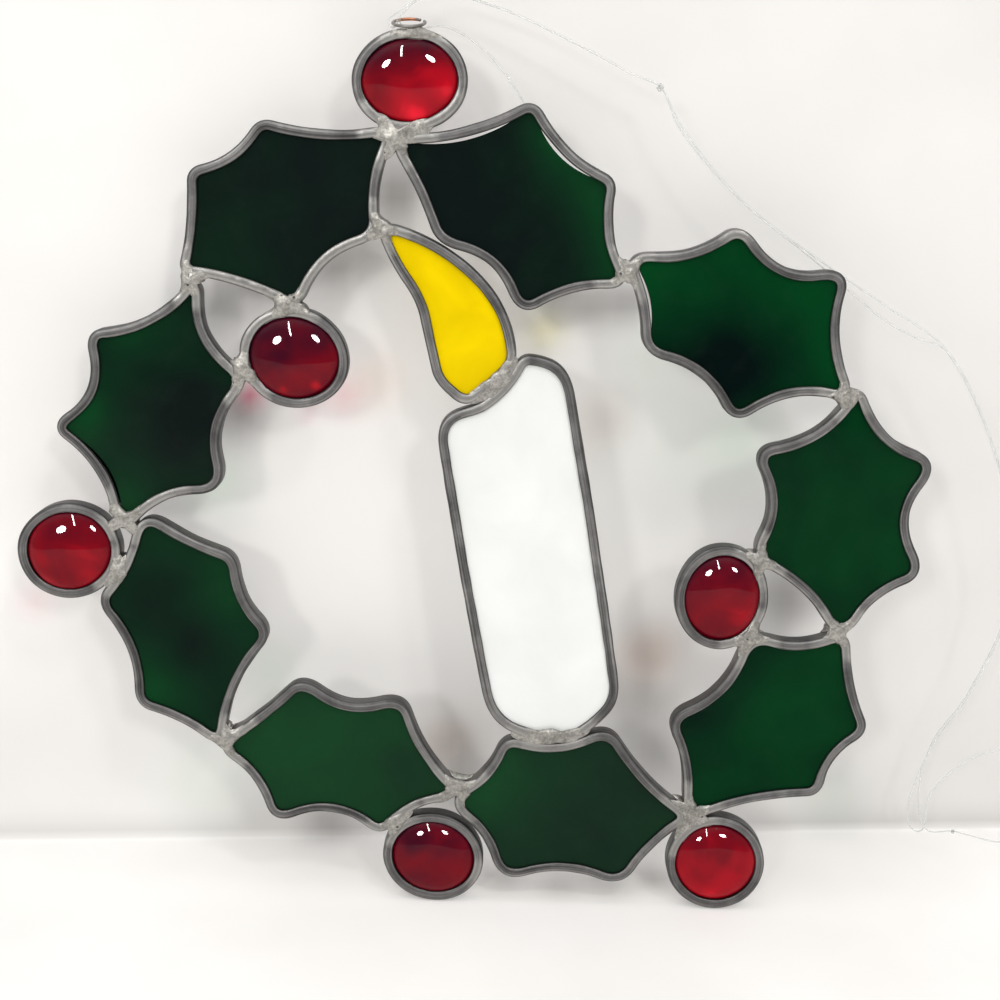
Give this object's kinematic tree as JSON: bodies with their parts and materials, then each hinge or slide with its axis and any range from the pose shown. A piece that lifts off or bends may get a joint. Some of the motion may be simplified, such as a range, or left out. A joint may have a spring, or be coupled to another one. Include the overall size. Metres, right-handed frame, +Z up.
{
  "type": "stained glass suncatcher",
  "caption": "Leaded stained glass suncatcher of a holly wreath with red glass berries round a lit candle, hung by a wire ring and clear line.",
  "frame": {"origin": "centre of the hanging ring at the top, where the suncatcher hangs", "axes": "+Z up as it hangs with the candle upright, -Y out of the front face, +X to the viewer's right; the middle of the glass is at y = 0"},
  "size_m": [0.258, 0.0345, 0.2425],
  "materials": {
    "lead_came": "dull oxidised lead with fine lines along the strip",
    "solder": "bright lumpy solder with small pits",
    "green_glass": "dense dark green cathedral glass, glossy, dusty",
    "red_glass": "glossy red glass nugget",
    "white_glass": "cool white opal glass",
    "yellow_glass": "strong yellow opal glass",
    "tinned_copper": "copper wire tinned at the front, bare at the back",
    "clear_line": "clear nylon fishing line"
  },
  "bodies": {
    "root": {"berry_1_came": "lead_came", "berry_1_glass": "red_glass", "berry_2_came": "lead_came", "berry_2_glass": "red_glass", "berry_3_came": "lead_came", "berry_3_glass": "red_glass", "berry_4_came": "lead_came", "berry_4_glass": "red_glass", "berry_5_came": "lead_came", "berry_5_glass": "red_glass", "berry_6_came": "lead_came", "berry_6_glass": "red_glass", "candle_came": "lead_came", "candle_glass": "white_glass", "fishing_line": "clear_line", "flame_came": "lead_came", "flame_glass": "yellow_glass", "hanging_ring": "tinned_copper", "holly_leaf_1_came": "lead_came", "holly_leaf_1_glass": "green_glass", "holly_leaf_2_came": "lead_came", "holly_leaf_2_glass": "green_glass", "holly_leaf_3_came": "lead_came", "holly_leaf_3_glass": "green_glass", "holly_leaf_4_came": "lead_came", "holly_leaf_4_glass": "green_glass", "holly_leaf_5_came": "lead_came", "holly_leaf_5_glass": "green_glass", "holly_leaf_6_came": "lead_came", "holly_leaf_6_glass": "green_glass", "holly_leaf_7_came": "lead_came", "holly_leaf_7_glass": "green_glass", "holly_leaf_8_came": "lead_came", "holly_leaf_8_glass": "green_glass", "holly_leaf_9_came": "lead_came", "holly_leaf_9_glass": "green_glass", "line_knot_1": "clear_line", "line_knot_2": "clear_line", "solder_01": "solder", "solder_02": "solder", "solder_03": "solder", "solder_04": "solder", "solder_05": "solder", "solder_06": "solder", "solder_07": "solder", "solder_08": "solder", "solder_09": "solder", "solder_10": "solder", "solder_11": "solder", "solder_12": "solder", "solder_13": "solder", "solder_14": "solder", "solder_15": "solder", "solder_16": "solder", "solder_17": "solder", "solder_18": "solder", "solder_ring_mound": "solder"}
  },
  "joints": []
}
